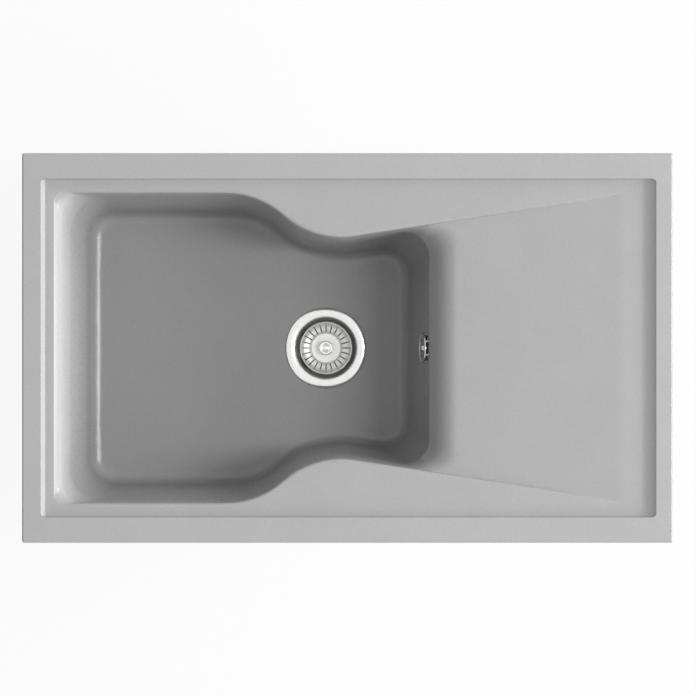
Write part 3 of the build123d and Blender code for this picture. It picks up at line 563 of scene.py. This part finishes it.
def basket_knob():
    """The turned knob: a waisted neck, a rounded head, a groove round its middle and a low crown."""
    low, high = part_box("basket_knob")
    top = high.z / MM
    stud_foot = low.z / MM
    neck_foot = top - KNOB_HEIGHT
    profile = [(0.0, stud_foot), (STUD_R, stud_foot), (STUD_R, neck_foot)]
    profile += [(radius, neck_foot + height) for radius, height in KNOB_NECK]
    for step in range(KNOB_EDGE_STEPS + 1):
        turn = math.radians(KNOB_EDGE_START + KNOB_EDGE_SWEEP * step / KNOB_EDGE_STEPS)
        radius = KNOB_EDGE_CENTRE_R + KNOB_EDGE_R * math.cos(turn)
        profile.append((radius, top - KNOB_EDGE_R + KNOB_EDGE_R * math.sin(turn)))
    profile += [(radius, top - depth) for radius, depth in KNOB_CROWN]
    work = turned(profile, middle_of(low, high), 0.0, KNOB_SIDES)
    bmesh.ops.recalc_face_normals(work, faces=work.faces)
    shade_smooth(work, KNOB_SMOOTH_ANGLE)
    as_piece("basket_knob_turned", work, "basket_knob")


def hose_rings(length):
    """The hose's rings as runs along it and radii: a plain cuff, the ribs, a plain cuff."""
    ribbed = length - 2 * HOSE_CUFF
    steps = HOSE_RIBS * RINGS_PER_RIB
    rings = [(0.0, HOSE_VALLEY_R)]
    for step in range(steps + 1):
        share = (step % RINGS_PER_RIB) / RINGS_PER_RIB
        swell = 0.5 - 0.5 * math.cos(2 * math.pi * share)
        rings.append((HOSE_CUFF + ribbed * step / steps, HOSE_VALLEY_R + (HOSE_R - HOSE_VALLEY_R) * swell))
    rings.append((length, HOSE_VALLEY_R))
    return rings


def overflow_hose():
    """The corrugated hose: rounded ribs along a straight, a quarter bend and a straight."""
    low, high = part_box("overflow_hose")
    start = Vector((high.x - HOSE_R, 0, high.z))
    bend_z = low.z + HOSE_R + HOSE_BEND_R
    bend_x = start.x - HOSE_BEND_R
    drop = start.z - bend_z
    bend = HOSE_BEND_R * math.pi / 2
    length = drop + bend + bend_x - low.x

    def ring_place(run):
        """Where a ring stands at a run along the route, its Z along the route."""
        turn = min(max((run - drop) / HOSE_BEND_R, 0), math.pi / 2)
        x = bend_x + HOSE_BEND_R * math.cos(turn) - max(run - drop - bend, 0)
        z = start.z - min(run, drop) - HOSE_BEND_R * math.sin(turn)
        return Matrix.Translation((x, 0, z)) @ Matrix.Rotation(math.pi + turn, 4, "Y")

    rings = hose_rings(length)
    work = bmesh.new()
    placed = ring_place(0) @ Matrix.Scale(rings[0][1], 4)
    bmesh.ops.create_circle(work, cap_ends=False, radius=1, segments=HOSE_SIDES, matrix=placed)
    edges = list(work.edges)
    for run, radius in rings[1:]:
        moved = ring_place(run) @ Matrix.Scale(radius, 4)
        grown = bmesh.ops.extrude_edge_only(work, edges=edges)["geom"]
        verts = [v for v in grown if isinstance(v, bmesh.types.BMVert)]
        edges = [e for e in grown if isinstance(e, bmesh.types.BMEdge)]
        edges = [e for e in edges if e.verts[0] in verts and e.verts[1] in verts]
        bmesh.ops.transform(work, matrix=moved @ placed.inverted(), verts=verts)
        placed = moved
    bmesh.ops.recalc_face_normals(work, faces=work.faces)
    shade_smooth(work, HOSE_SMOOTH_ANGLE)
    piece = as_piece("overflow_hose_corrugated", work, "overflow_hose")
    walled(piece, "hose_wall", HOSE_WALL)


def matt_paint(name, cloud_size, levels):
    """Matt grey paint, a little uneven, with its nodes, links and shader."""
    material, nodes, links, shader, place = new_material(name)
    cloud = grain(nodes, links, place, cloud_size)
    links.new(between_colours(nodes, links, cloud, greys(levels)), shader.inputs["Base Color"])
    shader.inputs["Roughness"].default_value = MATT_ROUGH
    return material, nodes, links, shader


def stage_board():
    """A grey board on the side away from the window, so that metal and the far walls keep their shade."""
    upright = (0, math.radians(90), 0)
    bpy.ops.mesh.primitive_plane_add(size=1.0, location=(BOARD_X, 0, BOARD_Z), rotation=upright)
    board = bpy.context.object
    board.name = "studio_board"
    board.scale = (BOARD_HEIGHT, BOARD_LENGTH, 1.0)
    board.visible_camera = False
    board.data.materials.append(matt_paint("grey_studio_board", BOARD_CLOUDS, BOARD_GREYS)[0])


def stage_floor():
    """A plain pale floor under the waste's tail, which keeps the shadow."""
    bpy.ops.mesh.primitive_plane_add(size=FLOOR_SIZE, location=(0, 0, cad_low.z))
    floor = bpy.context.object
    floor.name = "studio_floor"
    material, nodes, links, shader = matt_paint("pale_studio_floor", FLOOR_CLOUDS, FLOOR_GREYS)
    ray = nodes.new("ShaderNodeLightPath")
    white = nodes.new("ShaderNodeEmission")
    white.inputs["Color"].default_value = WHITE
    seen = nodes.new("ShaderNodeMath")
    seen.operation = "MULTIPLY"
    seen.inputs[1].default_value = FLOOR_GLOW
    links.new(ray.outputs["Is Camera Ray"], seen.inputs[0])
    glow = nodes.new("ShaderNodeMixShader")
    links.new(seen.outputs["Value"], glow.inputs["Fac"])
    links.new(shader.outputs["BSDF"], glow.inputs[1])
    links.new(white.outputs["Emission"], glow.inputs[2])
    links.new(glow.outputs["Shader"], nodes["Material Output"].inputs["Surface"])
    floor.data.materials.append(material)


def greater(nodes, links, first, second):
    """The greater of two values."""
    pick = nodes.new("ShaderNodeMath")
    pick.operation = "MAXIMUM"
    links.new(first, pick.inputs[0])
    links.new(second, pick.inputs[1])
    return pick.outputs["Value"]


def studio_room():
    """White where it is seen, mirrored or looked through, and a plain soft level where it lights."""
    world = bpy.data.worlds.new("studio_room")
    bpy.context.scene.world = world
    world.use_nodes = True
    nodes, links = world.node_tree.nodes, world.node_tree.links
    lit = nodes["Background"]
    lit.inputs["Color"].default_value = WHITE
    lit.inputs["Strength"].default_value = ROOM_LEVEL
    seen = nodes.new("ShaderNodeBackground")
    seen.inputs["Color"].default_value = WHITE
    seen.inputs["Strength"].default_value = WHITE_LEVEL
    ray = nodes.new("ShaderNodeLightPath").outputs
    looked_at = greater(nodes, links, ray["Is Camera Ray"], ray["Is Glossy Ray"])
    looked_at = greater(nodes, links, looked_at, ray["Is Transmission Ray"])
    mix = nodes.new("ShaderNodeMixShader")
    links.new(looked_at, mix.inputs["Fac"])
    links.new(lit.outputs["Background"], mix.inputs[1])
    links.new(seen.outputs["Background"], mix.inputs[2])
    links.new(mix.outputs["Shader"], nodes["World Output"].inputs["Surface"])


def soft_box(name, azimuth, elevation, half_width, half_height, radiance, mirrored):
    """A large lamp that faces the sink from a direction in degrees, and fills an angle of its sky."""
    width = 2 * LAMP_DISTANCE * math.tan(math.radians(half_width))
    height = 2 * LAMP_DISTANCE * math.tan(math.radians(half_height))
    lamp = bpy.data.lights.new(name, "AREA")
    lamp.shape = "RECTANGLE"
    lamp.size = width
    lamp.size_y = height
    lamp.energy = radiance * math.pi * width * height
    around, up = math.radians(azimuth), math.radians(elevation)
    towards = Vector((math.cos(around) * math.cos(up), math.sin(around) * math.cos(up), math.sin(up)))
    holder = bpy.data.objects.new(name, lamp)
    holder.location = towards * LAMP_DISTANCE
    holder.rotation_euler = towards.to_track_quat("Z", "Y").to_euler()
    holder.visible_glossy = mirrored
    bpy.context.scene.collection.objects.link(holder)


def camera_above():
    """The photograph's view, straight down on the rim."""
    lens = bpy.data.cameras.new("photo_camera")
    lens.lens = CAMERA_LENS
    lens.sensor_width = CAMERA_SENSOR
    lens.clip_end = CAMERA_REACH
    camera = bpy.data.objects.new("photo_camera", lens)
    camera.location = (CAMERA_X, 0, cad_high.z + CAMERA_ABOVE_RIM)
    bpy.context.scene.collection.objects.link(camera)
    bpy.context.scene.camera = camera


camera_above()
sink_shell()
strainer_basket()
basket_knob()
overflow_hose()
for node in sorted(frame["nodes"]):
    if node not in MODELLED_HERE:
        dressed(node, edge_width_of(node))

stage_floor()
stage_board()
studio_room()
for name, setting in SOFT_BOXES.items():
    soft_box(name, *setting)
bpy.context.scene.view_settings.view_transform = "Standard"
